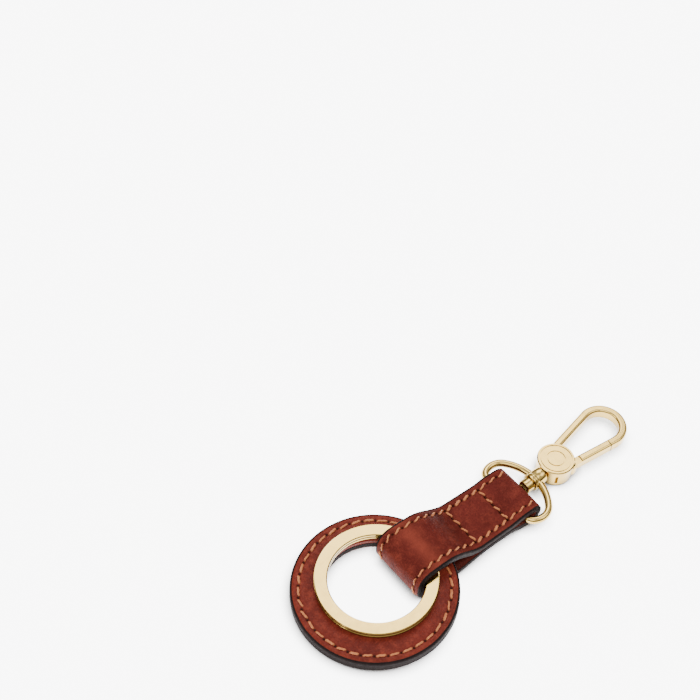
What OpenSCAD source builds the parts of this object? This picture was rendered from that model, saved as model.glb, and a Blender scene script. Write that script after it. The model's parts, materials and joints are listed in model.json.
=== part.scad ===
// Leather key fob. A stitched leather disc with a hole and a flat split ring hang in one
// loop of a lined leather strap. The strap's other loop holds a D-ring with a swivel
// barrel, and a snap hook with a sprung gate turns in the barrel.
// +X runs along the strap from the disc to the hook, +Z is up, and z = 0 is the table.
// The origin is on the strap's flat underside, under the disc. All sizes are in millimetres.

/* [Leather disc] */
// Outer diameter of the leather disc
disc_od = 43.6; // [43.2:0.1:44]
// Diameter of the hole in the disc
disc_hole_d = 27.4; // [27.3:0.1:28]
// Thickness of each outer leather of the disc
disc_leather_t = 1.45; // [1.2:0.05:1.5]
// Thickness of the stiffening layer between them
disc_core_t = 0.8; // [0.4:0.05:0.85]
// Angle at which the disc leans on the strap's lower run
disc_tilt = 4.5; // [4.4:0.1:4.7]
// Number of stitches round the disc
disc_stitches = 36; // [30:1:40]

/* [Split ring] */
// Outer diameter of the split ring
ring_od = 32; // [31.6:0.1:32.2]
// Inner diameter of the split ring
ring_id = 25.2; // [25:0.1:25.6]
// Thickness of one turn of the flat wire
ring_turn_t = 0.95; // [0.8:0.05:1]
// Offset of the ring's centre from the strap's centre line
ring_y = 0.3; // [0:0.1:0.4]
// Offset of the disc's centre from the ring's, away from the strap
disc_back = 1.2; // [1:0.1:1.3]
// Offset of the disc's centre from the ring's, across the strap
disc_aside = 0.8; // [0.5:0.1:0.9]

/* [Strap] */
// Thickness of the strap's outer leather
leather_t = 1.1; // [0.9:0.05:1.15]
// Thickness of the strap's lining
lining_t = 0.9; // [0.7:0.05:0.95]
// Width of the strap at the hook end
strap_w_hook = 15.8; // [15:0.1:16]
// Width of the strap at the ring end
strap_w_ring = 17.3; // [16.5:0.1:17.4]
// Clear height inside the loop that holds the ring and the disc
ring_loop_h = 7.15; // [7.1:0.05:7.6]
// Distance from the ring's centre to the outside of the ring loop's fold
ring_loop_nose = 6.1; // [5.9:0.1:6.2]
// Distance from the ring's centre to the outside of the hook loop's fold
hook_loop_nose = 50.6; // [50.4:0.1:51]
// How far the strap's middle arches off the table
arch_h = 1.6; // [0.8:0.1:1.8]
// Greatest bend of the strap each way at its flex line
strap_bend_max = 45; // [30:1:45]

/* [D-ring and swivel] */
// Diameter of the D-ring's wire
wire_d = 2.1; // [1.9:0.05:2.2]
// Distance from the bar's centre to the bow's centre line
d_ring_depth = 10.5; // [10.3:0.1:10.8]
// Diameter of the swivel barrel on the D-ring's bow
barrel_d = 4.7; // [4.4:0.1:4.8]
// Diameter of the swivel pin's shank
swivel_pin_d = 2.0; // [1.8:0.1:2.2]
// Angle of the hook to the strap's centre line
hook_yaw = 3.5; // [0:0.5:5]

/* [Snap hook] */
// Diameter of the cap on the hub
cap_d = 10.4; // [10.2:0.1:10.6]
// Distance from the hub's centre to the tip of the crown
hook_reach = 25.95; // [24.5:0.05:28]
// Outer radius of the crown
crown_r = 6.92; // [6.8:0.02:7.1]
// Width of the arm, seen from above
arm_w = 2.3; // [2.1:0.1:2.4]
// Height of the arm
arm_h = 3.3; // [3:0.1:3.4]
// Taper of each side of the hook towards the hub
side_angle = 9; // [8:0.5:10]
// How far the gate opens
gate_open_max = 28; // [20:1:30]

/* [Hidden] */
$fn = 64;

// Colours
leather_colour = [0.50, 0.17, 0.12];
lining_colour = [0.40, 0.14, 0.10];
core_colour = [0.25, 0.20, 0.18];
thread_colour = [0.80, 0.56, 0.36];
gold_colour = [0.90, 0.82, 0.62];
steel_colour = [0.70, 0.70, 0.72];

// Places along X. Distances along the strap count from the split ring's centre.
ring_x = -14;
flex_x = ring_x + 30.5;
ring_cross_x = ring_x + 28.1;
hook_cross_x = ring_x + 39.6;
run_t = leather_t + lining_t;
seam_gap = 0.15;
upper_in = run_t + seam_gap;
upper_out = upper_in + run_t;
arch_start = ring_x + 18.5;
arch_full = flex_x + 1;
arch_last = ring_x + 39;

// Disc
disc_t = 2*disc_leather_t + disc_core_t;
disc_r = disc_od/2;
disc_z = disc_r*sin(disc_tilt);
disc_stitch_r = disc_r - 2.3;
edge_round = 0.35;

// Split ring
ring_gap = 0.1;
ring_h = 2*ring_turn_t + ring_gap;
ring_rise = ring_turn_t + ring_gap;
jog_half = 2.2;

// Stitches
thread_d = 0.6;
stitch_len = 2.5;
stitch_slant = 8;
strap_pitch = 3.2;
strap_stitch_inset = 2.15;
cross_pitch = 2.9;
cross_count = 4;

// D-ring, with the bar's centre as its origin
bar_pocket_r = wire_d/2 + 0.2;
bar_z = run_t + bar_pocket_r;
bar_x = ring_x + 45.5;
d_ring_y = 0.5;
bar_half = 7.8;
corner_r = 2.2;
corner_turn = 58;
wire_short = 0.1;
shoulder_r = 4.8;
shoulder_x = corner_r + (shoulder_r - corner_r)*cos(corner_turn);
shoulder_y = bar_half - (shoulder_r - corner_r)*sin(corner_turn);
// The bow's arc passes through the apex and is tangent to both shoulders.
bow_reach = d_ring_depth - shoulder_x - shoulder_r;
bow_r = shoulder_r + (bow_reach*bow_reach + shoulder_y*shoulder_y)/(2*bow_reach);
bow_half_angle = asin(shoulder_y/(bow_r - shoulder_r));
bow_x = d_ring_depth - bow_r;

// Swivel, with its origin on the bow's centre line and +X towards the hook
swivel_x = bar_x + d_ring_depth;
axis_z = bar_z;
barrel_back = -1.4;
barrel_front = 2.3;
running_gap = 0.06;
end_gap = 0.1;
washer_t = 0.6;
washer_d = 4.9;
head_d = 3.9;
head_len = 2.6;
hub_u = 7.7;

// Hook, with its origin at the hub's centre on the swivel's axis
hub_r = cap_d/2 - 0.15;
hub_bottom = 0.15 - axis_z;
hub_top = 1.75;
cap_t = 0.8;
neck_r = 1.5;
pin_end = -3.2;
crown_u = hook_reach - crown_r;
crown_mid_r = crown_r - arm_w/2;
corner_round = 0.7;
nose_len = 2.1;
arm_len = crown_u - 1.5;
// The straight sides reach a little into the crown and are a little slimmer, so that they join
seam_reach = 0.3;
seam_step = 0.02;
// Where a straight side of the hook leaves the crown
side_u = crown_u - crown_mid_r*sin(side_angle);
side_v = crown_mid_r*cos(side_angle);

// Gate, its pivot on the line of its own side of the hook
pivot_back = 15.7;
pivot_u = side_u - pivot_back*cos(side_angle);
pivot_v = -side_v + pivot_back*sin(side_angle);
gate_pin_d = 1.2;
gate_pin_gap = 0.05;
root_r = 1.9;
root_bottom = -1.25;
root_top = 1.25;
root_gap = 0.1;
gate_step_r = 3.5;
coil_pocket_r = 1.35;
coil_pocket_floor = -0.1;
gate_end_gap = 0.25;
gate_len = pivot_back - nose_len - gate_end_gap;

// Gate spring
coil_r = 1.0;
coil_wire_r = 0.17;
coil_turns = 2.25;
coil_steps = 40;
coil_sides = 6;
coil_bottom = 0.12;
coil_rise = 0.9;
spring_leg = 0.9;

// Points of an arc about c
function arc(c, r, from, to, n = 14) =
    [for (i = [0:n]) c + r*[cos(from + (to - from)*i/n), sin(from + (to - from)*i/n)]];

// A curve from p to q that is level at both ends; a skew above 1 starts it later
function ease(p, q, skew = 1, n = 24) =
    [for (i = [0:n]) [p.x + (q.x - p.x)*i/n, p.y + (q.y - p.y)*(1 - cos(180*pow(i/n, skew)))/2]];

// Rises from 0 at a to 1 at b, level at both ends
function swell(x, a, b) = (1 - cos(180*min(1, max(0, (x - a)/(b - a)))))/2;

// Height of the strap's underside off the table
function arch(x) = arch_h*(swell(x, arch_start, arch_full) - swell(x, arch_last, bar_x));

// Inner face of the lower run from one place along the strap to another
function lower_run(from, to, n = 24) =
    [for (i = [0:n]) let (x = from + (to - from)*i/n) [x, run_t + arch(x)]];

// Outward unit normal of a path at point i; the outside is on the left of the path
function normal(p, i) =
    let (d = p[min(i + 1, len(p) - 1)] - p[max(i - 1, 0)]) [-d.y, d.x]/norm(d);

function offset_path(p, d) = [for (i = [0:len(p) - 1]) p[i] + d*normal(p, i)];

function backwards(p) = [for (i = [len(p) - 1:-1:0]) p[i]];

// Length of a path up to each of its points
function lengths(p) =
    [for (i = 0, s = 0; i < len(p); s = s + norm(p[min(i + 1, len(p) - 1)] - p[i]), i = i + 1) s];

// A rectangle with rounded corners, as points
function round_rect(w, h, r, n = 8) = concat(
    arc([w/2 - r, h/2 - r], r, 0, 90, n), arc([r - w/2, h/2 - r], r, 90, 180, n),
    arc([r - w/2, r - h/2], r, 180, 270, n), arc([w/2 - r, r - h/2], r, 270, 360, n));

// Inner face of the loop at the ring, from the lower run round the fold to the upper run
fold_r = 1.7;
fold_x = ring_x + ring_loop_nose + run_t + fold_r;
ring_loop_top = run_t + ring_loop_h;
ring_loop_path = concat(lower_run(flex_x, fold_x + 0.5),
    arc([fold_x, run_t + fold_r], fold_r, 270, 180),
    arc([fold_x, ring_loop_top - fold_r], fold_r, 180, 90),
    ease([ring_x + 15.4, ring_loop_top], [ring_cross_x + 1, upper_in + arch_h]),
    [[flex_x, upper_in + arch_h]]);

// Inner face of the loop at the D-ring, from the upper run round the fold to the lower run
pocket_x = ring_x + hook_loop_nose - run_t - bar_pocket_r;
hook_loop_path = concat([[flex_x, upper_in + arch_h]],
    ease([hook_cross_x - 1, upper_in + arch_h], [bar_x - 0.6, bar_z + bar_pocket_r]),
    arc([pocket_x, bar_z], bar_pocket_r, 90, -90),
    lower_run(bar_x + 1, flex_x));

// Half the strap's width at x
function strap_half(x) = lookup(x, [[ring_x + ring_loop_nose, strap_w_ring/2],
    [ring_x + hook_loop_nose, strap_w_hook/2]]);

// A layer of the strap between two distances from the inner face of a loop
module strap_layer(path, near, far) {
    ends = [ring_x + ring_loop_nose - 1, ring_x + hook_loop_nose + 1];
    intersection() {
        rotate([90, 0, 0])
            linear_extrude(strap_w_ring + 2, center = true)
                intersection() {
                    polygon(concat(offset_path(path, near), backwards(offset_path(path, far))));
                    children();
                }
        linear_extrude(40, center = true)
            polygon([for (p = [[0, -1], [1, -1], [1, 1], [0, 1]])
                [ends[p.x], p.y*strap_half(ends[p.x])]]);
    }
}

// The side of the flex line that a strap body keeps: -1 is the ring end, 1 the hook end.
// The ends are wedges, which leave room for the strap to bend each way.
module flex_side(side) {
    middle = arch_h + upper_out/2;
    reach = 60;
    height = 12;
    back = height*tan(strap_bend_max/2 + 2);
    tip = flex_x + side*0.1;
    polygon([[tip, middle], [tip + side*back, middle + height], [tip + side*reach, middle + height],
        [tip + side*reach, middle - height], [tip + side*back, middle - height]]);
}

// One stitch, a round-ended length of thread along X
module stitch(length = stitch_len) {
    half = length/2 - thread_d/2;
    rotate([0, 90, 0])
        rotate_extrude($fn = 16)
            intersection() {
                union() {
                    translate([0, -half]) square([thread_d/2, 2*half]);
                    for (end = [-half, half]) translate([0, end]) circle(d = thread_d, $fn = 16);
                }
                translate([0, -length]) square([thread_d, 2*length]);
            }
}

// A row of stitches along both edges of a loop. Threads on the underside lie flush.
module edge_stitches(path, first, last) {
    outside = offset_path(path, run_t);
    at = lengths(outside);
    xs = [for (i = [0:len(at) - 1]) [at[i], outside[i].x]];
    zs = [for (i = [0:len(at) - 1]) [at[i], outside[i].y]];
    count = floor((at[len(at) - 1] - first - last)/strap_pitch);
    for (i = [0:count], side = [-1, 1]) {
        s = first + i*strap_pitch;
        x = lookup(s, xs);
        z = lookup(s, zs);
        slope = atan2(lookup(s + 0.5, zs) - lookup(s - 0.5, zs), lookup(s + 0.5, xs) - lookup(s - 0.5, xs));
        lowest = thread_d/2 + 0.05 + stitch_len/2*abs(sin(slope));
        translate([x, side*(strap_half(x) - strap_stitch_inset), max(z, lowest)])
            rotate([0, -slope, 0])
                rotate([0, 0, stitch_slant])
                    stitch();
    }
}

// A row of stitches across the strap, on its top and flush in its underside
module cross_stitches(x) {
    for (i = [0:cross_count - 1], z = [upper_out + arch_h, arch(x) + thread_d/2 + 0.02])
        translate([x, (i - (cross_count - 1)/2)*cross_pitch, z])
            rotate([0, 0, 90 + stitch_slant])
                stitch();
}

// Puts children in the disc's own frame: its centre, its underside and its tilt
module on_disc() {
    translate([ring_x - disc_back, ring_y - disc_aside, disc_z])
        rotate([0, -disc_tilt, 0]) children();
}

// A flat ring of the disc, with its outer edges rounded at the bottom or the top
module disc_layer(bottom, thickness, round_bottom, round_top) {
    inner = disc_hole_d/2;
    lower = max(round_bottom, 0.01);
    upper = max(round_top, 0.01);
    translate([0, 0, bottom])
        rotate_extrude($fn = 128)
            polygon(concat([[inner, 0]],
                arc([disc_r - lower, lower], lower, -90, 0, 4),
                arc([disc_r - upper, thickness - upper], upper, 0, 90, 4),
                [[inner, thickness]]));
}

module disc_bottom_leather() {
    color(leather_colour) on_disc() disc_layer(0, disc_leather_t, edge_round, 0);
}

module disc_core() {
    color(core_colour) on_disc() disc_layer(disc_leather_t, disc_core_t, 0, 0);
}

module disc_top_leather() {
    color(leather_colour)
        on_disc() disc_layer(disc_leather_t + disc_core_t, disc_leather_t, 0, edge_round);
}

module disc_stitching() {
    color(thread_colour)
        on_disc()
            for (i = [0:disc_stitches - 1], z = [0.15, disc_t])
                rotate([0, 0, (i + 0.5)*360/disc_stitches])
                    translate([disc_stitch_r, 0, z])
                        rotate([0, 0, 90 + stitch_slant])
                            stitch();
}

// One turn of the split ring, between two angles
module ring_turn(from, to) {
    bevel = 0.25;
    width = (ring_od - ring_id)/2;
    rotate([0, 0, from])
        rotate_extrude(angle = to - from, $fn = 128)
            translate([ring_id/2, 0])
                polygon([[bevel, 0], [width - bevel, 0], [width, bevel], [width, ring_turn_t - bevel],
                    [width - bevel, ring_turn_t], [bevel, ring_turn_t], [0, ring_turn_t - bevel], [0, bevel]]);
}

// The sloping piece that joins the two turns, a hair slimmer than they are
module ring_jog() {
    hair = 0.03;
    reach = jog_half + 0.9;
    thick = ring_turn_t - 2*hair;
    lower = [[-reach, hair], [-jog_half, hair], [jog_half, ring_rise + hair], [reach, ring_rise + hair]];
    upper = [for (i = [3:-1:0]) lower[i] + [0, thick]];
    intersection() {
        rotate_extrude($fn = 128)
            translate([ring_id/2 + hair, -1]) square([(ring_od - ring_id)/2 - 2*hair, ring_h + 2]);
        rotate([90, 0, 90]) linear_extrude(ring_od) polygon(concat(lower, upper));
    }
}

module split_ring() {
    rest_gap = 0.06;
    jog_angle = asin(jog_half/(ring_id/2));
    end_cut = 1;
    color(gold_colour)
        on_disc()
            translate([disc_back, disc_aside, disc_t + rest_gap]) {
                ring_turn(jog_angle + end_cut, 360 - jog_angle);
                translate([0, 0, ring_rise]) ring_turn(jog_angle, 360 - jog_angle - end_cut);
                ring_jog();
            }
}

module loop_leather() {
    color(leather_colour) strap_layer(ring_loop_path, lining_t, run_t) flex_side(-1);
}

module loop_lining() {
    color(lining_colour) strap_layer(ring_loop_path, 0, lining_t) flex_side(-1);
}

module strap_leather() {
    color(leather_colour) strap_layer(hook_loop_path, lining_t, run_t) flex_side(1);
}

module strap_lining() {
    color(lining_colour) strap_layer(hook_loop_path, 0, lining_t) flex_side(1);
}

module loop_edge_stitching() {
    color(thread_colour) edge_stitches(ring_loop_path, 3, 3);
}

module strap_edge_stitching() {
    color(thread_colour) edge_stitches(hook_loop_path, 3, 3);
}

module cross_stitch_ring_end() {
    color(thread_colour) cross_stitches(ring_cross_x);
}

module cross_stitch_hook_end() {
    color(thread_colour) cross_stitches(hook_cross_x);
}

// Wire bent to an arc about the z axis between two angles. Each end stops short of the next
// stretch by a little, inside the ball that joins the two.
module wire_arc(r, from, to) {
    short = atan(wire_short/r);
    rotate([0, 0, from + short])
        rotate_extrude(angle = to - from - 2*short) translate([r, 0]) circle(d = wire_d, $fn = 32);
}

// The ball between two stretches of wire
module wire_joint(at) {
    translate(at) sphere(d = wire_d + 0.03, $fn = 32);
}

// Puts children in the swivel's frame
module on_swivel() {
    translate([swivel_x, d_ring_y, axis_z]) rotate([0, 0, hook_yaw]) children();
}

// Solid of revolution about X; its profile is given as distance from the axis against x
module turned(profile, fn = 48) {
    rotate([0, 90, 0]) rotate_extrude($fn = fn) polygon([for (p = profile) [p.y, p.x]]);
}

module d_ring() {
    bevel = 0.3;
    r = barrel_d/2;
    color(gold_colour)
        difference() {
            union() {
                translate([bar_x, d_ring_y, bar_z]) {
                    rotate([90, 0, 0])
                        cylinder(d = wire_d, h = 2*(bar_half - wire_short), center = true, $fn = 32);
                    for (side = [0, 1]) mirror([0, side, 0]) {
                        translate([corner_r, bar_half, 0]) wire_arc(corner_r, 180 - corner_turn, 180);
                        translate([shoulder_x, shoulder_y, 0])
                            wire_arc(shoulder_r, bow_half_angle, 180 - corner_turn);
                        wire_joint([0, bar_half, 0]);
                        wire_joint([corner_r*(1 - cos(corner_turn)), bar_half + corner_r*sin(corner_turn), 0]);
                        wire_joint([bow_x + bow_r*cos(bow_half_angle), bow_r*sin(bow_half_angle), 0]);
                    }
                    translate([bow_x, 0, 0]) wire_arc(bow_r, -bow_half_angle, bow_half_angle);
                }
                on_swivel()
                    turned([[barrel_back, 0], [barrel_back, r - bevel], [barrel_back + bevel, r],
                        [barrel_front - bevel, r], [barrel_front, r - bevel], [barrel_front, 0]]);
            }
            on_swivel()
                translate([barrel_back - 1, 0, 0])
                    rotate([0, 90, 0])
                        cylinder(d = swivel_pin_d + 2*running_gap, h = barrel_front - barrel_back + 2);
        }
}

module swivel_washer() {
    bevel = 0.12;
    front = barrel_back - end_gap;
    back = front - washer_t;
    r = washer_d/2;
    bore = swivel_pin_d/2;
    color(gold_colour)
        on_swivel()
            turned([[back, bore], [back, r - bevel], [back + bevel, r], [front - bevel, r],
                [front, r - bevel], [front, bore]]);
}

module swivel_pin() {
    front = barrel_back - end_gap - washer_t;
    back = front - head_len;
    r = head_d/2;
    groove = 0.45;
    dish = 0.35;
    color(gold_colour)
        on_swivel()
            turned(concat([[hub_u + pin_end, 0], [back + dish, 0], [back + dish, r - 1.0], [back, r - 0.75]],
                [for (a = [-60:20:0]) [back + 0.5 + 0.5*sin(a), r - 0.5 + 0.5*cos(a)]],
                [[front - groove, r], [front - groove, r - 0.35], [front, r - 0.35],
                    [front, swivel_pin_d/2], [hub_u + pin_end, swivel_pin_d/2]]));
}

// Puts children in the hook's frame, with the hub's centre on the swivel axis as its origin
module on_hub() {
    on_swivel() translate([hub_u, 0, 0]) children();
}

// A straight bar of the hook's section, from a side's end at the crown towards the hub
module side_bar(side, start, length, width, height) {
    translate([side_u, side*side_v, 0])
        rotate([0, 0, 180 + side*side_angle])
            translate([start, 0, 0])
                rotate([90, 0, 90])
                    linear_extrude(length) polygon(round_rect(width, height, corner_round));
}

// The hub's slot for the gate's root: round at the back, and open over the gate's swing
module gate_slot() {
    pivot = [pivot_u, pivot_v];
    first = 90 + gate_open_max - side_angle;
    last = 240 - side_angle;
    back = arc(pivot, root_r + root_gap, first, last);
    out = 8;
    translate([0, 0, root_bottom - root_gap])
        linear_extrude(root_top - root_bottom + 2*root_gap)
            polygon(concat(back, [back[len(back) - 1] + out*[-sin(last), cos(last)],
                back[0] + out*[sin(first), -cos(first)]]));
}

module hook_body() {
    slit_angle = -131;
    slit_w = 0.8;
    slit_depth = 0.9;
    side_w = arm_w - 2*seam_step;
    side_h = arm_h - 2*seam_step;
    color(gold_colour)
        on_hub()
            difference() {
                union() {
                    translate([0, 0, hub_bottom])
                        rotate_extrude()
                            polygon([[0, 0], [hub_r - 0.5, 0], [hub_r - 0.15, 0.15], [hub_r, 0.5],
                                [hub_r, hub_top - hub_bottom], [0, hub_top - hub_bottom]]);
                    translate([barrel_front + end_gap - hub_u, 0, 0])
                        rotate([0, 90, 0])
                            cylinder(r = neck_r, h = 2);
                    side_bar(1, -seam_reach, arm_len + seam_reach, side_w, side_h);
                    translate([crown_u, 0, 0])
                        rotate([0, 0, -90 - side_angle])
                            rotate_extrude(angle = 180 + 2*side_angle)
                                translate([crown_mid_r, 0])
                                    polygon(round_rect(arm_w, arm_h, corner_round));
                    side_bar(-1, -seam_reach, nose_len + seam_reach, side_w, side_h);
                }
                gate_slot();
                translate([pivot_u, pivot_v, hub_bottom - 1]) cylinder(d = gate_pin_d, h = 10, $fn = 32);
                translate([barrel_front - hub_u - 1, 0, 0])
                    rotate([0, 90, 0])
                        cylinder(d = swivel_pin_d, h = pin_end - barrel_front + hub_u + 1);
                rotate([0, 0, slit_angle])
                    translate([hub_r - slit_depth, -slit_w/2, -1.9])
                        cube([2, slit_w, 2.9]);
            }
}

// The hub's cover, with plain rings turned in its face
module emblem_cap() {
    r = cap_d/2;
    groove = 0.22;
    color(gold_colour)
        on_hub()
            translate([0, 0, hub_top])
                rotate_extrude($fn = 96)
                    polygon([[0, 0], [r - 0.1, 0], [r, 0.1], [r, cap_t - 0.25], [r - 0.25, cap_t],
                        [r - 0.7, cap_t], [r - 0.7, cap_t - groove],
                        [r - 1.0, cap_t - groove], [r - 1.0, cap_t],
                        [r/2, cap_t], [r/2, cap_t - groove], [r/2 - 0.3, cap_t - groove], [r/2 - 0.3, cap_t],
                        [0, cap_t]]);
}

module gate() {
    color(gold_colour)
        on_hub()
            difference() {
                union() {
                    translate([pivot_u, pivot_v, root_bottom])
                        cylinder(r = root_r, h = root_top - root_bottom);
                    intersection() {
                        side_bar(-1, nose_len + gate_end_gap, gate_len, arm_w, arm_h - 0.1);
                        union() {
                            difference() {
                                translate([pivot_u, pivot_v - 10, -5]) cube([20, 20, 10]);
                                translate([pivot_u, pivot_v, -6]) cylinder(r = gate_step_r, h = 12);
                            }
                            translate([pivot_u, pivot_v - 10, root_bottom])
                                cube([20, 20, root_top - root_bottom]);
                        }
                    }
                }
                translate([pivot_u, pivot_v, -5]) cylinder(d = gate_pin_d + 2*gate_pin_gap, h = 10, $fn = 32);
                translate([pivot_u, pivot_v, coil_pocket_floor]) cylinder(r = coil_pocket_r, h = 5);
            }
}

module gate_pin() {
    color(steel_colour)
        on_hub()
            translate([pivot_u, pivot_v, hub_bottom + 0.1])
                cylinder(d = gate_pin_d, h = hub_top - hub_bottom - 0.15, $fn = 32);
}

// Centre line of the spring: a leg, the coil and the other leg
spring_line = concat(
    [[coil_r, -spring_leg*0.35, coil_bottom]],
    [for (i = [0:coil_steps]) let (a = 360*coil_turns*i/coil_steps)
        [coil_r*cos(a), coil_r*sin(a), coil_bottom + coil_rise*i/coil_steps]],
    [[-spring_leg*0.35, coil_r, coil_bottom + coil_rise]]);

// A round wire swept along a line of points
module swept_wire(line, r, sides) {
    last = len(line) - 1;
    rings = [for (i = [0:last])
        let (t = line[min(i + 1, last)] - line[max(i - 1, 0)],
            flat = cross(t, [0, 0, 1])/norm(cross(t, [0, 0, 1])),
            up = cross(flat, t)/norm(t))
        [for (k = [0:sides - 1]) line[i] + r*(cos(360*k/sides)*flat + sin(360*k/sides)*up)]];
    polyhedron(
        points = [for (ring = rings) each ring],
        faces = concat(
            [[for (k = [0:sides - 1]) k]],
            [for (i = [0:last - 1], k = [0:sides - 1])
                [i*sides + k, (i + 1)*sides + k, (i + 1)*sides + (k + 1) % sides, i*sides + (k + 1) % sides]],
            [[for (k = [sides - 1:-1:0]) last*sides + k]]));
}

module gate_spring() {
    color(steel_colour)
        on_hub() translate([pivot_u, pivot_v, 0]) swept_wire(spring_line, coil_wire_r, coil_sides);
}

disc_top_leather();
disc_core();
disc_bottom_leather();
disc_stitching();
split_ring();
loop_leather();
loop_lining();
loop_edge_stitching();
cross_stitch_ring_end();
strap_leather();
strap_lining();
strap_edge_stitching();
cross_stitch_hook_end();
d_ring();
swivel_washer();
swivel_pin();
hook_body();
emblem_cap();
gate();
gate_pin();
gate_spring();
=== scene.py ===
import json
import math

import bmesh
import bpy
import numpy as np
from mathutils import Matrix, Vector


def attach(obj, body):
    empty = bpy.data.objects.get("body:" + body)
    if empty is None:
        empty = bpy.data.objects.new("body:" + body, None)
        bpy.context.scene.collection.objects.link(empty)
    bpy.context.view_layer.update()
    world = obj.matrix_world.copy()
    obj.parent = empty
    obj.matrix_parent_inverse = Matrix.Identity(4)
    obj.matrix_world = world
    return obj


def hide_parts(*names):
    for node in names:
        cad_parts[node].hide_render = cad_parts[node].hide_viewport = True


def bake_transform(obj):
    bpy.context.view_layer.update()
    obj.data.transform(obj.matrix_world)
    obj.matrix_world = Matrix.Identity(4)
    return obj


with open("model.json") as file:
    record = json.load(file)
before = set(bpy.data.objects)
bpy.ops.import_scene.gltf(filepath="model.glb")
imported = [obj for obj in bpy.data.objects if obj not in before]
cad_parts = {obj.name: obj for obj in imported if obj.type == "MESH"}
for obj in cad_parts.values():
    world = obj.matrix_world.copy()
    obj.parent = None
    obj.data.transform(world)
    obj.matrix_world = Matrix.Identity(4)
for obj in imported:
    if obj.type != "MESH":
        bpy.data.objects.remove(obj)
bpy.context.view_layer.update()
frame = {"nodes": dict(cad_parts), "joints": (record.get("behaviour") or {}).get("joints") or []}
joints = {j["name"]: j for j in frame["joints"]}
MM = 0.001
rng = np.random.default_rng(11)


def joint_place(name):
    """Where a joint is, in millimetres, to a thousandth."""
    return np.round(np.array(joints[name]["pos_m"]) / MM, 3)


# ---------------------------------------------------------------- camera
# From above the disc, looking along the strap
EYE = Vector((-0.193593, -0.166678, 0.392060))
LOOK = Vector((0.44280, 0.45872, -0.77039))
ROLL = math.radians(6.131)
LENS = 91.67
SENSOR = 36


def add_camera():
    data = bpy.data.cameras.new("camera")
    data.lens = LENS
    data.sensor_width = SENSOR
    data.clip_start = 0.01
    camera = bpy.data.objects.new("camera", data)
    bpy.context.scene.collection.objects.link(camera)
    level = LOOK.to_track_quat("-Z", "Y").to_matrix().to_4x4()
    camera.matrix_world = Matrix.Translation(EYE) @ level @ Matrix.Rotation(ROLL, 4, "Z")
    bpy.context.scene.camera = camera


def area_light(name, at, aim, size, power):
    data = bpy.data.lights.new(name, "AREA")
    data.shape = "RECTANGLE"
    data.size, data.size_y = size
    data.energy = power
    light = bpy.data.objects.new(name, data)
    bpy.context.scene.collection.objects.link(light)
    light.location = at
    light.rotation_euler = (Vector(aim) - Vector(at)).to_track_quat("-Z", "Y").to_euler()


# ---------------------------------------------------------------- materials
class Nodes:
    """Builds one material's node tree."""

    def __init__(self, name):
        self.material = bpy.data.materials.new(name)
        self.material.use_nodes = True
        self.tree = self.material.node_tree
        self.shader = self.tree.nodes["Principled BSDF"]
        self.place = self.tree.nodes.new("ShaderNodeTexCoord").outputs["Object"]

    def set(self, **values):
        for key, value in values.items():
            self.shader.inputs[key.replace("_", " ")].default_value = value

    def link(self, output, socket):
        self.tree.links.new(output, self.shader.inputs[socket])

    def node(self, kind, links=(), **values):
        node = self.tree.nodes.new(kind)
        for key, value in values.items():
            setattr(node, key, value)
        for socket, output in dict(links).items():
            self.wire(node, socket, output)
        return node

    def wire(self, node, socket, value):
        if isinstance(value, bpy.types.NodeSocket):
            self.tree.links.new(value, node.inputs[socket])
        else:
            node.inputs[socket].default_value = value

    def noise(self, scale, detail=2.0, rough=0.5):
        return self.node("ShaderNodeTexNoise", {"Vector": self.place, "Scale": scale, "Detail": detail,
                                                "Roughness": rough}).outputs["Fac"]

    def cells(self, scale):
        cells = self.node("ShaderNodeTexVoronoi", {"Vector": self.place, "Scale": scale})
        return cells.outputs["Distance"]

    def ramp(self, value, low, high, out_low=0.0, out_high=1.0):
        return self.node("ShaderNodeMapRange", {"Value": value, "From Min": low, "From Max": high,
                                                "To Min": out_low, "To Max": out_high}).outputs[0]

    def mix(self, factor, first, second):
        node = self.node("ShaderNodeMix", data_type="RGBA")
        self.wire(node, 0, factor)
        self.wire(node, 6, first)
        self.wire(node, 7, second)
        return node.outputs[2]

    def attribute(self, name):
        return self.node("ShaderNodeAttribute", attribute_name=name).outputs["Fac"]

    def bump(self, height, strength, distance, under=None):
        node = self.node("ShaderNodeBump", {"Height": height, "Strength": strength, "Distance": distance})
        if under is not None:
            self.wire(node, "Normal", under)
        return node.outputs[0]


def leather_material(name, dark, middle, light, rough, ior):
    """Clouded and speckled leather: lighter where "edge" says (the paler edges, and a painted highlight), and
    nearly black where the painted shade mask says.
    """
    m = Nodes(name)
    cloud = m.ramp(m.noise(95, 4, 0.55), 0.32, 0.68)
    colour = m.mix(cloud, dark, middle)
    streak = m.ramp(m.noise(420, 3, 0.6), 0.45, 0.75, 0, 0.45)
    colour = m.mix(streak, colour, light)
    dark_speck = m.ramp(m.noise(2100, 2, 0.7), 0.50, 0.68, 0, 0.75)
    colour = m.mix(dark_speck, colour, dark)
    light_speck = m.ramp(m.noise(2300, 2, 0.7), 0.54, 0.74, 0, 0.4)
    colour = m.mix(light_speck, colour, light)
    # Paler where "edge" says: the leather's own paler edges, and on the strap a painted highlight
    colour = m.mix(m.attribute("edge"), colour, light)
    # Painted shade: nearly black in the awl holes, and darker on the strap's slope after the loop's crest
    colour = m.mix(m.attribute("painted_shade"), colour, (0.016, 0.0035, 0.002, 1))
    m.link(colour, "Base Color")
    m.link(m.ramp(m.noise(900, 3), 0.3, 0.7, rough - 0.06, rough + 0.08), "Roughness")
    m.set(IOR=ior)
    normal = m.bump(m.ramp(m.cells(2200), 0.0, 0.5), 0.5, 0.00008)
    normal = m.bump(m.noise(4200, 3), 0.4, 0.00006, normal)
    normal = m.bump(m.noise(240, 3), 0.25, 0.0004, normal)
    m.link(normal, "Normal")
    return m.material


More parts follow.
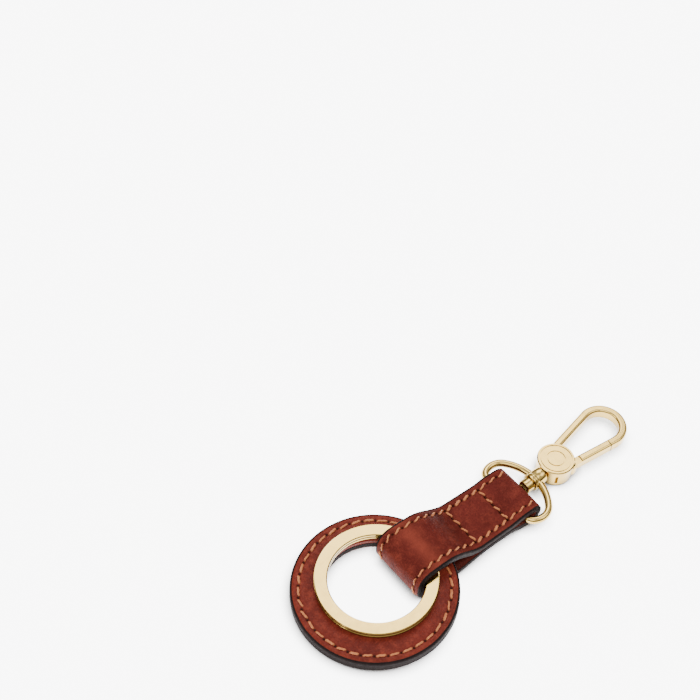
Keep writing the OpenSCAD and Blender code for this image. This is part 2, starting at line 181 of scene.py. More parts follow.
def paint_material():
    m = Nodes("edge_paint")
    colour = m.mix(m.noise(800, 3), (0.0045, 0.0028, 0.0028, 1), (0.0095, 0.0062, 0.0062, 1))
    m.link(colour, "Base Color")
    m.link(m.ramp(m.noise(1500, 2), 0.3, 0.7, 0.55, 0.72), "Roughness")
    m.link(m.bump(m.noise(1300, 3), 0.3, 0.0001), "Normal")
    m.set(Specular_IOR_Level=0.03)
    return m.material


def thread_material():
    m = Nodes("thread")
    colour = m.mix(m.noise(2400, 2), (0.21, 0.058, 0.019, 1), (0.40, 0.143, 0.056, 1))
    # Painted shade: the thread darkens towards its ends, where it sinks into the awl holes
    colour = m.mix(m.attribute("painted_shade"), colour, (0.10, 0.032, 0.014, 1))
    m.link(colour, "Base Color")
    m.link(m.ramp(m.noise(3000, 2), 0.3, 0.7, 0.5, 0.68), "Roughness")
    m.link(m.bump(m.noise(9000, 2), 0.4, 0.00005), "Normal")
    m.set(Specular_IOR_Level=0.15)
    return m.material


def metal_material(name, base, worn, rough):
    m = Nodes(name)
    m.set(Metallic=1.0)
    m.link(m.mix(m.noise(160, 3), base, worn), "Base Color")
    m.link(m.ramp(m.noise(420, 3), 0.3, 0.7, rough * 0.75, rough * 1.35), "Roughness")
    m.link(m.bump(m.noise(260, 2), 0.06, 0.0002), "Normal")
    return m.material


STRAP_LEATHER = leather_material("strap_leather", (0.041, 0.0066, 0.0052, 1), (0.075, 0.0125, 0.0094, 1),
                                 (0.155, 0.030, 0.0180, 1), 0.34, 1.045)
DISC_LEATHER = leather_material("disc_leather", (0.054, 0.0068, 0.0044, 1), (0.100, 0.0128, 0.0074, 1),
                                (0.205, 0.036, 0.0190, 1), 0.38, 1.13)
LINING = leather_material("lining", (0.030, 0.0045, 0.003, 1), (0.055, 0.009, 0.006, 1),
                          (0.085, 0.015, 0.008, 1), 0.5, 1.12)
PAINT = paint_material()
THREAD = thread_material()
GOLD = metal_material("gold_metal", (0.42, 0.284, 0.080, 1), (0.38, 0.254, 0.069, 1), 0.14)
STEEL = metal_material("spring_steel", (0.55, 0.55, 0.57, 1), (0.48, 0.48, 0.50, 1), 0.25)


# ---------------------------------------------------------------- meshes
# The lowest any piece reaches, in millimetres above the table
TABLE_GAP = 0.01


def grid_faces(n, m, around=True, base=0):
    """Faces of an n by m grid of points that closes on itself across, and along if around."""
    i = np.arange(n if around else n - 1)[:, None]
    j = np.arange(m)[None, :]
    ahead = (i + 1) % n
    beside = (j + 1) % m
    quads = np.stack([i * m + j, i * m + beside, ahead * m + beside, ahead * m + j], -1)
    return (quads.reshape(-1, 4) + base).tolist()


def make_piece(name, points, faces, material, masks=()):
    """A smooth closed mesh from points in millimetres, pressed flat where it meets the table."""
    points = np.array(points)
    points[:, 2] = np.maximum(points[:, 2], TABLE_GAP)
    data = bpy.data.meshes.new(name)
    data.from_pydata((points * MM).tolist(), [], faces)
    for key, values in dict(masks).items():
        layer = data.attributes.new(key, "FLOAT", "POINT")
        layer.data.foreach_set("value", np.asarray(values, np.float32).ravel())
    bm = bmesh.new()
    bm.from_mesh(data)
    bmesh.ops.recalc_face_normals(bm, faces=bm.faces)
    bm.to_mesh(data)
    bm.free()
    data.polygons.foreach_set("use_smooth", [True] * len(data.polygons))
    data.materials.append(material)
    piece = bpy.data.objects.new(name, data)
    bpy.context.scene.collection.objects.link(piece)
    return piece


def bell(x, width):
    return np.exp(-(x / width) ** 2)


def waves(a, b, size, count=14):
    """Smooth seeded unevenness of about +-1 over a surface; size is its length in millimetres."""
    total = np.zeros(np.broadcast(a, b).shape)
    for _ in range(count):
        turn, phase = rng.uniform(0, 2 * np.pi, 2)
        rate = 2 * np.pi / size * rng.uniform(0.5, 1.3)
        total += np.sin(rate * (a * np.cos(turn) + b * np.sin(turn)) + phase)
    return total / math.sqrt(count)


# ---------------------------------------------------------------- the strap's shape, in millimetres
FLEX_X = joint_place("strap_bend")[0]
BAR_X, D_RING_Y, BAR_Z = joint_place("d_ring_swing")
D_RING_DEPTH = joint_place("hook_swivel")[0] - BAR_X
# The other places along X count from the split ring's centre
RING_X = FLEX_X - 30.5
RING_ROW_X = RING_X + 28.1
HOOK_ROW_X = RING_X + 39.6
RING_END_X = RING_X + 6.1
HOOK_END_X = RING_X + 50.6
ARCH_START_X = RING_X + 18.5
ARCH_LAST_X = RING_X + 39
LOOP_CREST_X = RING_X + 15.4
FIRM_FOLD_X = RING_X + 17
# Painted highlight on the ring loop's crest, and painted shade on the slope after it: where they lie along X
PAINTED_HIGHLIGHT_X = RING_X + 13
SHADED_X = RING_X + 23.5
STRAP_W_RING = 17.3
STRAP_W_HOOK = 15.8
LEATHER_T = 1.1
LINING_T = 0.9
RUN_T = LEATHER_T + LINING_T
SEAM_GAP = 0.15
UPPER_IN = RUN_T + SEAM_GAP
ARCH_H = 1.6
POCKET_R = BAR_Z - RUN_T
FOLD_R = 1.7
FOLD_X = RING_END_X + RUN_T + FOLD_R
LOOP_TOP = RUN_T + 7.15
POCKET_X = HOOK_END_X - RUN_T - POCKET_R
STEP = 0.2
EASING_PASSES = 70


def swell(x, a, b):
    """A smooth rise from 0 at a to 1 at b."""
    return (1 - np.cos(np.pi * np.clip((x - a) / (b - a), 0, 1))) / 2


def arch(x):
    """How far the strap's middle stands off the table at x."""
    return ARCH_H * (swell(x, ARCH_START_X, FLEX_X + 1) - swell(x, ARCH_LAST_X, BAR_X))


def lower_run(start, end):
    x = np.linspace(start, end, 60)
    return np.stack([x, RUN_T + arch(x)], 1)


def arc(x, z, r, start, end):
    a = np.radians(np.linspace(start, end, 40))
    return np.stack([x + r * np.cos(a), z + r * np.sin(a)], 1)


def ease(p, q):
    t = np.linspace(0, 1, 80)
    return np.stack([p[0] + (q[0] - p[0]) * t, p[1] + (q[1] - p[1]) * (1 - np.cos(np.pi * t)) / 2], 1)


def strap_points():
    """The inner face of the whole strap, seen from -Y, with the outside on the left."""
    middle = UPPER_IN + ARCH_H
    return np.vstack([
        lower_run(FLEX_X, FOLD_X + 0.5),
        arc(FOLD_X, RUN_T + FOLD_R, FOLD_R, 270, 180),
        arc(FOLD_X, LOOP_TOP - FOLD_R, FOLD_R, 180, 90),
        ease((LOOP_CREST_X, LOOP_TOP), (RING_ROW_X + 1.3, middle)),
        ease((HOOK_ROW_X - 1, middle), (BAR_X - 0.6, BAR_Z + POCKET_R)),
        arc(POCKET_X, BAR_Z, POCKET_R, 90, -90),
        lower_run(BAR_X + 1, FLEX_X + 0.3)])


def even_line(points, step):
    """A closed line of points, at even steps."""
    ring = np.vstack([points, points[:1]])
    at = np.concatenate([[0], np.cumsum(np.linalg.norm(np.diff(ring, axis=0), axis=1))])
    count = round(at[-1] / step)
    s = np.arange(count) * at[-1] / count
    return np.stack([np.interp(s, at, ring[:, 0]), np.interp(s, at, ring[:, 1])], 1)


def even_steps(points, step):
    """Even steps with their corners eased, most of all at the ring loop's fold."""
    path = even_line(points, step)
    for k in range(EASING_PASSES):
        eased = (np.roll(path, 1, 0) + 2 * path + np.roll(path, -1, 0)) / 4
        at_fold = np.clip((FIRM_FOLD_X - path[:, :1]) / 3, 0, 1) if k > 3 else 1
        path = path + (eased - path) * at_fold
    return path


INNER = even_steps(strap_points(), STEP)
AHEAD = np.roll(INNER, -1, 0) - np.roll(INNER, 1, 0)
OUTWARD = np.stack([-AHEAD[:, 1], AHEAD[:, 0]], 1) / np.linalg.norm(AHEAD, axis=1)[:, None]
OUTER = INNER + RUN_T * OUTWARD
OUTER_S = np.concatenate([[0], np.cumsum(np.linalg.norm(np.diff(OUTER, axis=0), axis=1))])
LAST_GAP = np.linalg.norm(OUTER[0] - OUTER[-1])
OUTER_LEN = OUTER_S[-1] + LAST_GAP
RING_NOSE = int(np.argmin(OUTER[:, 0]))
HOOK_NOSE = int(np.argmax(OUTER[:, 0]))


def half_width(x):
    return np.interp(x, [RING_END_X, HOOK_END_X], [STRAP_W_RING / 2, STRAP_W_HOOK / 2])


def top_s(x):
    """How far along the outer face the upper run is at x."""
    run = slice(RING_NOSE + 10, HOOK_NOSE - 10)
    return float(np.interp(x, OUTER[run, 0], OUTER_S[run]))


def under_s(x):
    """How far along the outer face the lower run is at x."""
    back = np.arange(len(OUTER) - 1 + RING_NOSE - 20, HOOK_NOSE + 20, -1)
    s = OUTER_S[back % len(OUTER)] + OUTER_LEN * (back // len(OUTER))
    return float(np.interp(x, OUTER[back % len(OUTER), 0], s)) % OUTER_LEN


def on_strap(s, y, h):
    """A point on the strap's outer face, h above it."""
    at = np.append(OUTER_S, OUTER_LEN)
    s = np.asarray(s) % OUTER_LEN
    ring = np.vstack([OUTER, OUTER[:1]])
    out = np.vstack([OUTWARD, OUTWARD[:1]])
    x = np.interp(s, at, ring[:, 0]) + h * np.interp(s, at, out[:, 0])
    z = np.interp(s, at, ring[:, 1]) + h * np.interp(s, at, out[:, 1])
    return np.stack([x, np.broadcast_to(y, x.shape), z], -1)


# ---------------------------------------------------------------- stitches
INSET = 2.15
PITCH = 3.2
STITCH_R = 0.24
THICK_STITCH_R = 0.34
CROSS_STITCH_R = 0.26
CROSS_COUNT = 4
BARE_FOLD = 4.0
LEAN = 14
CROSS_LEAN = 13
STITCH_GAP = 0.75
CROSS_GAP = 1.0
# How a thread presses its channel in, how the leather round it dips, and how an awl hole sinks
CHANNEL_DEPTH = 0.14
CHANNEL_MARGIN = 0.18
DIP_DEPTH = 0.05
DIP_W = 1.1
HOLE_DEPTH = 0.40
HOLE_LONG = 0.35
HOLE_WIDE = 0.30


class Stitch:
    """One visible stitch: where it is on a face (a along, b across), its turn, length and thread."""

    def __init__(self, a, b, turn, length, radius):
        self.a, self.b, self.turn, self.length, self.radius = a, b, turn, length, radius


def strap_stitches():
    """Stitches and holes of the strap, as (s, y) on its outer face."""
    top = top_s(RING_ROW_X), top_s(HOOK_ROW_X)
    under = under_s(RING_ROW_X), under_s(HOOK_ROW_X)
    stretches = [(under[0], top[0], STITCH_R), (top[0], top[1], THICK_STITCH_R),
                 (top[1], under[1], STITCH_R), (under[1], under[0] + OUTER_LEN, STITCH_R)]
    stitches, holes = [], []
    for side in (-1, 1):
        for start, end, radius in stretches:
            count = round((end - start) / PITCH)
            pitch = (end - start) / count
            for k in range(count):
                s = start + (k + 0.5) * pitch
                if abs(s - OUTER_S[HOOK_NOSE]) < BARE_FOLD:
                    continue
                x = on_strap(s, 0, 0)[0]
                y = side * (half_width(x) - INSET)
                turn = math.radians(LEAN + rng.normal(0, 5))
                stitches.append(Stitch(s, y, turn, pitch - STITCH_GAP + rng.normal(0, 0.12),
                                       radius * rng.uniform(0.88, 1.14)))
                holes.append((start + k * pitch, y, turn))
    rows = [(RING_ROW_X, top[0]), (HOOK_ROW_X, top[1]), (RING_ROW_X, under[0]), (HOOK_ROW_X, under[1])]
    for x, across in rows:
        width = 2 * (half_width(x) - INSET)
        pitch = width / CROSS_COUNT
        for k in range(CROSS_COUNT):
            y = -width / 2 + (k + 0.5) * pitch
            turn = math.radians(90 + CROSS_LEAN + rng.normal(0, 3))
            stitches.append(Stitch(across, y, turn, pitch - CROSS_GAP,
                                   CROSS_STITCH_R * rng.uniform(0.95, 1.05)))
            for end in (-1, 1):
                holes.append((across, y + end * (pitch / 2 - 0.3), turn))
    return stitches, holes


def thread_mesh(stitches, place):
    """All the threads of a face in one mesh: three plies, sunk into the leather at both ends."""
    strand_sides, steps, twist = 15, 18, 3.4
    points, faces, painted_end_shade = [], [], []
    t = np.linspace(-1, 1, steps)
    around = np.linspace(0, 2 * np.pi, strand_sides, endpoint=False)
    for stitch in stitches:
        half = stitch.length / 2
        sway = 0.09 * np.sin(np.pi * t) + rng.normal(0, 0.02)
        along = half * t
        a = stitch.a + along * math.cos(stitch.turn) - sway * math.sin(stitch.turn)
        b = stitch.b + along * math.sin(stitch.turn) + sway * math.cos(stitch.turn)
        sink = np.abs(t) ** 7
        h = 0.15 * stitch.radius - (0.75 * stitch.radius + 0.22) * sink
        centre = place(a, b, h)
        up = place(a, b, h + 0.1) - centre
        up /= np.linalg.norm(up, axis=1)[:, None]
        run = np.gradient(centre, axis=0)
        run /= np.linalg.norm(run, axis=1)[:, None]
        side = np.cross(run, up)
        side /= np.linalg.norm(side, axis=1)[:, None]
        up = np.cross(side, run)
        phase = rng.uniform(0, 2 * np.pi)
        size = stitch.radius * (1 - 0.35 * np.abs(t) ** 5)
        ply = around[None, :] + 2 * np.pi * along[:, None] / twist
        r = size[:, None] * (1 + 0.11 * np.cos(3 * ply + phase))
        ring = (centre[:, None, :] + (1.12 * r * np.cos(around))[..., None] * side[:, None, :]
                + (0.88 * r * np.sin(around))[..., None] * up[:, None, :])
        base = len(points) * strand_sides * steps
        points.append(ring.reshape(-1, 3))
        faces += grid_faces(steps, strand_sides, False, base)
        faces.append([base + k for k in range(strand_sides)])
        faces.append([base + (steps - 1) * strand_sides + k for k in range(strand_sides)][::-1])
        # Painted shade on the last part of each stitch, where it sinks into its hole
        painted_end_shade.append(np.repeat(np.clip((np.abs(t) - 0.72) / 0.28, 0, 1), strand_sides) * 0.9)
    return np.vstack(points), faces, {"painted_shade": np.concatenate(painted_end_shade)}


def sunken(a, b, stitches, holes, length):
    """How far stitches and awl holes press a face in, and how dark the painted shade in the holes is.

    The face closes on itself after length along a.
    """
    def apart(x):
        return (x + length / 2) % length - length / 2

    depth = np.zeros(np.broadcast(a, b).shape)
    dark = np.zeros(depth.shape)
    for stitch in stitches:
        da, db = apart(a - stitch.a), b - stitch.b
        u = da * math.cos(stitch.turn) + db * math.sin(stitch.turn)
        v = db * math.cos(stitch.turn) - da * math.sin(stitch.turn)
        channel = bell(v, stitch.radius + CHANNEL_MARGIN) * bell(u, 0.52 * stitch.length) ** 2
        depth += CHANNEL_DEPTH * channel
        depth += DIP_DEPTH * bell(v, DIP_W) * bell(u, 0.6 * stitch.length)
    for at, across, turn in holes:
        da, db = apart(a - at), b - across
        u = da * math.cos(turn) + db * math.sin(turn)
        v = db * math.cos(turn) - da * math.sin(turn)
        hole = bell(u, HOLE_LONG) * bell(v - 0.08, HOLE_WIDE)
        depth += HOLE_DEPTH * hole
        # Painted shade: each awl hole is darkened as the shade inside it
        dark = np.maximum(dark, np.clip(1.7 * hole - 0.1, 0, 1))
    return depth, dark


# ---------------------------------------------------------------- the strap's pieces
# How far the skins stop inside the painted edges
SKIN_EDGE = 0.22
# The outer leather's raised middle, rounded edges and creases
CROWN_H = 0.10
EDGE_DROP = 0.24
EDGE_DROP_W = 0.34
CREASE_COUNT = 7
CREASE_DEPTH = 0.06
CREASE_W = 0.17


def strap_layer(name, edge, far, near, columns, material, stitches=(), holes=()):
    """A layer of the strap, from near to far off its inner face.

    edge is how far the layer stops inside the strap's sides. The layer with the stitches also has
    creases before the ring-end row and paler edges, with a painted highlight on the ring loop's crest
    and nose and painted shade on the slope after the crest.
    """
    x_out = OUTER[:, 0][:, None]
    half = half_width(x_out) - edge
    v = np.linspace(-1, 1, columns)[None, :]
    y = v * half
    s = OUTER_S[:, None]
    inside = half_width(x_out) - np.abs(y)
    if holes:
        depth, dark = sunken(s, y, stitches, holes, OUTER_LEN)
        crown = CROWN_H * (1 - (y / half) ** 2)
        rim = EDGE_DROP * bell(inside - edge, EDGE_DROP_W)
        crease = np.zeros(depth.shape)
        for _ in range(CREASE_COUNT):
            at = top_s(RING_ROW_X) - rng.uniform(0.6, 4.2)
            bend = 0.25 * waves(y * 0, y, 9, 5)
            crease += CREASE_DEPTH * bell(s - at - bend, CREASE_W) * np.clip(waves(y * 0, y, 7, 5), 0, 1)
        d = far + crown - CROWN_H - rim - depth - crease
        d = d + 0.02 * waves(s, y, 9) + 0.008 * waves(s, y, 2.2)
        uneven = 1 + 0.2 * waves(s, y, 6)
        # Painted highlight on the loop's crest and on its nose's upper bend, and painted shade on the slope
        # after the crest
        painted_highlight = 0.50 * bell(s - top_s(PAINTED_HIGHLIGHT_X), 2.6) + 0.15 * bell(s - OUTER_S[RING_NOSE] - 3, 1.3)
        shaded = 0.30 * bell(s - top_s(SHADED_X), 2.8)
        # The shade mask holds painted shade in the awl holes and on the slope; "edge" holds the paler edges
        # and the painted highlight
        masks = {"painted_shade": np.clip(dark + shaded * uneven, 0, 1),
                 "edge": np.clip(0.25 * bell(inside - edge, 0.9) + painted_highlight * uneven, 0, 1)}
    else:
        d = far + 0.012 * waves(s, y, 5)
        masks = {"painted_shade": 0 * d, "edge": 0 * d}
    back = np.linspace(1, -1, 9)[None, :] * half
    layers = [(y, d), (back, np.full(back.shape, near))]
    yy = np.concatenate([np.broadcast_to(p[0], (len(INNER), p[0].shape[1])) for p in layers], 1)
    dd = np.concatenate([np.broadcast_to(p[1], (len(INNER), p[1].shape[1])) for p in layers], 1)
    x = INNER[:, :1] + dd * OUTWARD[:, :1]
    z = INNER[:, 1:] + dd * OUTWARD[:, 1:]
    points = np.stack([x, yy, z], -1).reshape(-1, 3)
    tail = np.zeros(back.shape) + np.zeros((len(INNER), 1))
    masks = {k: np.concatenate([np.broadcast_to(w, y.shape), tail], 1) for k, w in masks.items()}
    return make_piece(name, points, grid_faces(len(INNER), yy.shape[1]), material, masks)


def strap_paint():
    """The painted edges: a rounded bead down each side, with a faint groove where the layers meet."""
    section = [(0.50, 0.10), (0.22, 0.07), (0.06, 0.20), (0.0, 0.45), (0.0, 0.80), (0.03, 0.90), (0.0, 1.0),
               (0.0, 1.30), (0.04, 1.55), (0.15, 1.74), (0.32, 1.86), (0.50, 1.88), (0.62, 1.70), (0.60, 1.0)]
    inner, out = INNER[::2], OUTWARD[::2]
    points, faces = [], []
    for side in (-1, 1):
        e = np.array([p[0] for p in section])[None, :]
        d = np.array([p[1] for p in section])[None, :]
        s = np.arange(len(inner))[:, None] * 2 * STEP
        e = e + 0.015 * waves(s, d * 3, 4)
        x = inner[:, :1] + d * out[:, :1]
        z = inner[:, 1:] + d * out[:, 1:]
        y = side * (half_width(x) - e)
        faces += grid_faces(len(inner), len(section), True, sum(len(p) for p in points))
        points.append(np.stack([x, y, z], -1).reshape(-1, 3))
    return make_piece("strap_edge_paint", np.vstack(points), faces, PAINT)


def build_strap():
    stitches, holes = strap_stitches()
    outer = strap_layer("strap_leather_skin", SKIN_EDGE, RUN_T, LINING_T, 88, STRAP_LEATHER,
                        stitches, holes)
    lining = strap_layer("strap_lining_skin", SKIN_EDGE, LINING_T - 0.01, 0.0, 24, LINING)
    paint = strap_paint()
    points, faces, masks = thread_mesh(stitches, on_strap)
    thread = make_piece("strap_thread", points, faces, THREAD, masks)
    for piece in (outer, lining, paint, thread):
        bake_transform(piece)
    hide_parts("loop_leather", "strap_leather")
    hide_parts("loop_lining", "strap_lining")
    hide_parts("loop_edge_stitching", "cross_stitch_ring_end", "strap_edge_stitching",
                "cross_stitch_hook_end")


# ---------------------------------------------------------------- the disc
DISC_R = 21.8
HOLE_R = 13.7
DISC_LEATHER_T = 1.45
DISC_CORE_T = 0.8
DISC_T = 2 * DISC_LEATHER_T + DISC_CORE_T
DISC_ROW_R = DISC_R - 2.3
DISC_STITCHES = 36
DISC_STITCH_R = 0.27
DISC_STITCH_GAP = 0.8
DISC_LEAN = -13
RIM_DROP = 0.30
RIM_DROP_W = 0.55
HOLE_DROP = 0.16
HOLE_DROP_W = 0.25
DISC_AXIS = Vector(joints["disc_spin"]["axis"])
DISC_TURN = np.array(Vector((0, 0, 1)).rotation_difference(DISC_AXIS).to_matrix())
DISC_AT = joint_place("disc_spin")


def on_disc(angle, r, z):
    local = np.stack(np.broadcast_arrays(r * np.cos(angle), r * np.sin(angle), z), -1)
    return local @ DISC_TURN.T + DISC_AT


def on_disc_top(a, b, h):
    return on_disc(a / DISC_ROW_R, DISC_ROW_R + b, DISC_T + h)


def on_disc_under(a, b, h):
    return on_disc(a / DISC_ROW_R, DISC_ROW_R + b, -h)


def disc_stitches():
    stitches, holes = [], []
    pitch = 2 * math.pi * DISC_ROW_R / DISC_STITCHES
    for k in range(DISC_STITCHES):
        a = (k + 0.5) * pitch
        turn = math.radians(DISC_LEAN + rng.normal(0, 5))
        stitches.append(Stitch(a, rng.normal(0, 0.06), turn, pitch - DISC_STITCH_GAP + rng.normal(0, 0.15),
                               DISC_STITCH_R * rng.uniform(0.85, 1.2)))
        holes.append((k * pitch, rng.normal(0, 0.06), turn))
    return stitches, holes


def disc_leather(name, top, stitches, holes):
    """The disc's upper or lower leather, with the stitch line pressed in."""
    turns, columns = 720, 52
    angle = (np.arange(turns) * 2 * np.pi / turns)[:, None]
    r = np.linspace(HOLE_R, DISC_R - SKIN_EDGE, columns)[None, :]
    a = angle * DISC_ROW_R
    b = r - DISC_ROW_R + 0 * a
    depth, dark = sunken(a, b, stitches, holes, 2 * math.pi * DISC_ROW_R)
    outside, inside = DISC_R - r, r - HOLE_R
    rim = RIM_DROP * bell(outside - SKIN_EDGE, RIM_DROP_W) + HOLE_DROP * bell(inside, HOLE_DROP_W)
    x, y = r * np.cos(angle), r * np.sin(angle)
    face = DISC_T - rim - depth + 0.015 * waves(x, y, 8) + 0.006 * waves(x, y, 2)
    back = np.linspace(DISC_R - SKIN_EDGE, HOLE_R, 5)[None, :] + 0 * angle
    rr = np.concatenate([r + 0 * angle, back], 1)
    zz = np.concatenate([face, np.full(back.shape, DISC_LEATHER_T + DISC_CORE_T)], 1)
    if not top:
        zz = DISC_T - zz
    edge = 0.15 * bell(outside - SKIN_EDGE, 1.0) + 0.2 * bell(inside, 0.8) + 0 * angle
    # Painted shade in the awl holes; the paler rim and hole edges are the leather's own tone
    masks = {"painted_shade": np.concatenate([dark, 0 * back], 1), "edge": np.concatenate([edge, 0 * back], 1)}
    points = on_disc(angle, rr, zz).reshape(-1, 3)
    return make_piece(name, points, grid_faces(turns, rr.shape[1]), DISC_LEATHER, masks)


def disc_band(name, section):
    """A band of edge paint round the disc, from its section's points (radius, height)."""
    turns = 360
    angle = (np.arange(turns) * 2 * np.pi / turns)[:, None]
    r = np.array([p[0] for p in section])[None, :] + 0 * angle
    z = np.array([p[1] for p in section])[None, :] + 0 * angle
    r = r + 0.012 * waves(angle * DISC_R, z * 3, 4)
    points = on_disc(angle, r, z).reshape(-1, 3)
    return make_piece(name, points, grid_faces(turns, len(section)), PAINT)


def build_disc():
    stitches, holes = disc_stitches()
    upper = disc_leather("disc_upper_skin", True, stitches, holes)
    lower = disc_leather("disc_lower_skin", False, stitches, holes)
    R, H, T = DISC_R, HOLE_R, DISC_T
    rim = disc_band("disc_rim_paint", [
        (R - 0.55, 0.25), (R - 0.25, 0.16), (R - 0.07, 0.35), (R, 0.7), (R, 1.38), (R - 0.03, 1.46),
        (R, 1.54), (R, 2.16), (R - 0.03, 2.24), (R, 2.32), (R - 0.01, T - 0.8), (R - 0.07, T - 0.52),
        (R - 0.20, T - 0.30), (R - 0.36, T - 0.17), (R - 0.50, T - 0.11), (R - 0.58, T - 0.14),
        (R - 0.65, T - 0.5)])
    wall = disc_band("disc_hole_paint", [
        (H + 0.45, 0.2), (H + 0.10, 0.14), (H - 0.05, 0.4), (H - 0.06, 1.4), (H - 0.03, 1.46),
        (H - 0.06, 1.52), (H - 0.05, 2.1), (H + 0.05, 2.22), (H + 0.45, 2.2)])
    points, faces, masks = thread_mesh(stitches, on_disc_top)
    under, under_faces, under_masks = thread_mesh(stitches, on_disc_under)
    faces += [[k + len(points) for k in face] for face in under_faces]
    masks = {"painted_shade": np.concatenate([masks["painted_shade"], under_masks["painted_shade"]])}
    thread = make_piece("disc_thread", np.vstack([points, under]), faces, THREAD, masks)
    for piece in (upper, lower, rim, wall, thread):
        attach(piece, "disc")
    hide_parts("disc_top_leather")
    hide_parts("disc_bottom_leather")
    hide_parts("disc_core")
    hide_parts("disc_stitching")


# ---------------------------------------------------------------- metal
WIRE_R = 1.05


def plane_arc(centre, r, start, end):
    a = np.linspace(start, end, 24)
    return [(centre[0] + r * math.cos(k), centre[1] + r * math.sin(k)) for k in a]


def d_ring_line():
    """The wire's centre line in the ring's plane, from the bar's middle round to it again."""
    bar_half, corner_r, shoulder_r = 7.8, 2.2, 4.8
    turn = math.radians(58)
    shift = shoulder_r - corner_r
    shoulder = (corner_r + shift * math.cos(turn), bar_half - shift * math.sin(turn))
    reach = D_RING_DEPTH - shoulder[0] - shoulder_r
    bow_r = shoulder_r + (reach * reach + shoulder[1] ** 2) / (2 * reach)
    bow_angle = math.asin(shoulder[1] / (bow_r - shoulder_r))
    half = [(0, y) for y in np.linspace(0, bar_half, 30)]
    half += plane_arc((corner_r, bar_half), corner_r, math.pi, math.pi - turn)
    half += plane_arc(shoulder, shoulder_r, math.pi - turn, bow_angle)
    half += plane_arc((D_RING_DEPTH - bow_r, 0), bow_r, bow_angle, 0)
    return np.array(half + [(x, -y) for x, y in half[-2:0:-1]])


def d_ring_skin():
    """The D-ring's round wire and its swivel barrel."""
    line = even_line(d_ring_line(), 0.25)
    ahead = np.roll(line, -1, 0) - np.roll(line, 1, 0)
    aside = np.stack([-ahead[:, 1], ahead[:, 0]], 1) / np.linalg.norm(ahead, axis=1)[:, None]
    around = np.linspace(0, 2 * np.pi, 32, endpoint=False)
    flat = line[:, None, :] + WIRE_R * np.cos(around)[None, :, None] * aside[:, None, :]
    z = np.broadcast_to(BAR_Z + WIRE_R * np.sin(around)[None, :], flat.shape[:2])
    wire = np.stack([BAR_X + flat[..., 0], D_RING_Y + flat[..., 1], z], -1).reshape(-1, 3)
    faces = grid_faces(len(line), len(around))
    axis = Vector(joints["hook_swivel"]["axis"])
    back, front, out, bore = -1.4, 2.3, 2.35, 1.06
    profile = [(back, bore), (back, out - 0.35), (back + 0.05, out - 0.14), (back + 0.16, out - 0.03),
               (back + 0.3, out), (back + 0.7, out), (back + 0.8, out - 0.1), (back + 0.92, out - 0.1),
               (back + 1.02, out), (front - 0.3, out), (front - 0.16, out - 0.03), (front - 0.05, out - 0.14),
               (front, out - 0.35), (front, bore)]
    turns = 64
    a = np.arange(turns) * 2 * np.pi / turns
    side = Vector((0, 0, 1)).cross(axis)
    along = np.array([p[0] for p in profile])[None, :, None] * np.array(axis)
    radial = np.cos(a)[:, None] * np.array(side) + np.sin(a)[:, None] * np.array((0, 0, 1))
    across = np.array([p[1] for p in profile])[None, :, None] * radial[:, None, :]
    barrel = joint_place("hook_swivel") + along + across
    faces += grid_faces(turns, len(profile), True, len(wire))
    skin = make_piece("d_ring_skin", np.vstack([wire, barrel.reshape(-1, 3)]), faces, GOLD)
    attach(skin, "dee")
    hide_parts("d_ring")


def finish_metal():
    """The D-ring's skin, and a metal for every other CAD node of the ring and the hook."""
    d_ring_skin()
    gold = ["split_ring", "swivel_washer", "swivel_pin", "hook_body", "emblem_cap", "gate"]
    steel = ["gate_pin", "gate_spring"]
    for names, metal in ((gold, GOLD), (steel, STEEL)):
        for name in names:
            node = frame["nodes"][name]
            node.data.materials.clear()
            node.data.materials.append(metal)


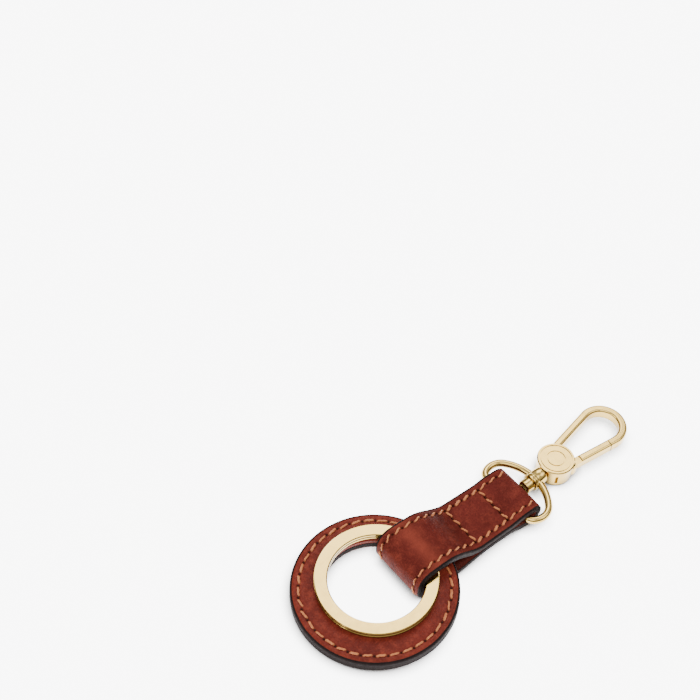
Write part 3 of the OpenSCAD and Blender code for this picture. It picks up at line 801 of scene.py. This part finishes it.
# ---------------------------------------------------------------- studio
def studio():
    """A bright sky over a dark horizon, a glowing pale floor with a painted contact shadow, three softboxes
    and a key light.
    """
    world = bpy.data.worlds.new("world")
    world.use_nodes = True
    tree = world.node_tree
    place = tree.nodes.new("ShaderNodeTexCoord").outputs["Generated"]
    split = tree.nodes.new("ShaderNodeSeparateXYZ")
    tree.links.new(place, split.inputs[0])
    ramp = tree.nodes.new("ShaderNodeMapRange")
    ramp.inputs["From Min"].default_value = 0.25
    ramp.inputs["From Max"].default_value = 0.60
    tree.links.new(split.outputs["Z"], ramp.inputs["Value"])
    sky = tree.nodes.new("ShaderNodeMix")
    sky.data_type = "RGBA"
    sky.inputs[6].default_value = (0.20, 0.14, 0.10, 1)
    sky.inputs[7].default_value = (1.4, 1.4, 1.4, 1)
    tree.links.new(ramp.outputs[0], sky.inputs[0])
    tree.links.new(sky.outputs[2], tree.nodes["Background"].inputs[0])
    tree.nodes["Background"].inputs[1].default_value = 1.0
    bpy.context.scene.world = world
    bpy.ops.mesh.primitive_plane_add(size=6, location=(0, 0, 0))
    floor = bpy.context.object
    floor.name = "floor"
    m = Nodes("floor")
    m.set(Base_Color=(0.25, 0.25, 0.25, 1), Roughness=0.9, Emission_Color=(1, 1, 1, 1),
          Specular_IOR_Level=0.0)
    # Painted contact shadow: the floor's glow dims where ambient occlusion finds a piece close by, and fades
    # to nearly dark far from the middle
    open_sky = m.node("ShaderNodeAmbientOcclusion", {"Distance": 0.0035}, samples=8).outputs["AO"]
    glow = m.ramp(open_sky, 0.42, 0.92, 0.02, 8.0)
    far = m.node("ShaderNodeVectorMath", {0: m.place}, operation="LENGTH").outputs["Value"]
    fade = m.ramp(far, 0.28, 0.45, 1.0, 0.03)
    glow = m.node("ShaderNodeMath", {0: glow, 1: fade}, operation="MULTIPLY").outputs[0]
    m.link(glow, "Emission Strength")
    floor.data.materials.append(m.material)
    area_light("back_softbox", at=(0.44, 0.55, 0.97), aim=(0.01, 0, 0), size=(0.62, 0.62), power=9.6)
    area_light("top_softbox", at=(-0.34, -0.36, 0.9), aim=(0.01, 0, 0), size=(0.7, 0.7), power=6.0)
    area_light("side_softbox", at=(0.45, -0.40, 0.80), aim=(0.03, 0, 0), size=(0.5, 0.5), power=3.6)
    area_light("key", at=(-0.68, 0.18, 0.46), aim=(0.01, 0, 0), size=(0.6, 0.4), power=4.2)


build_strap()
build_disc()
finish_metal()
add_camera()
studio()
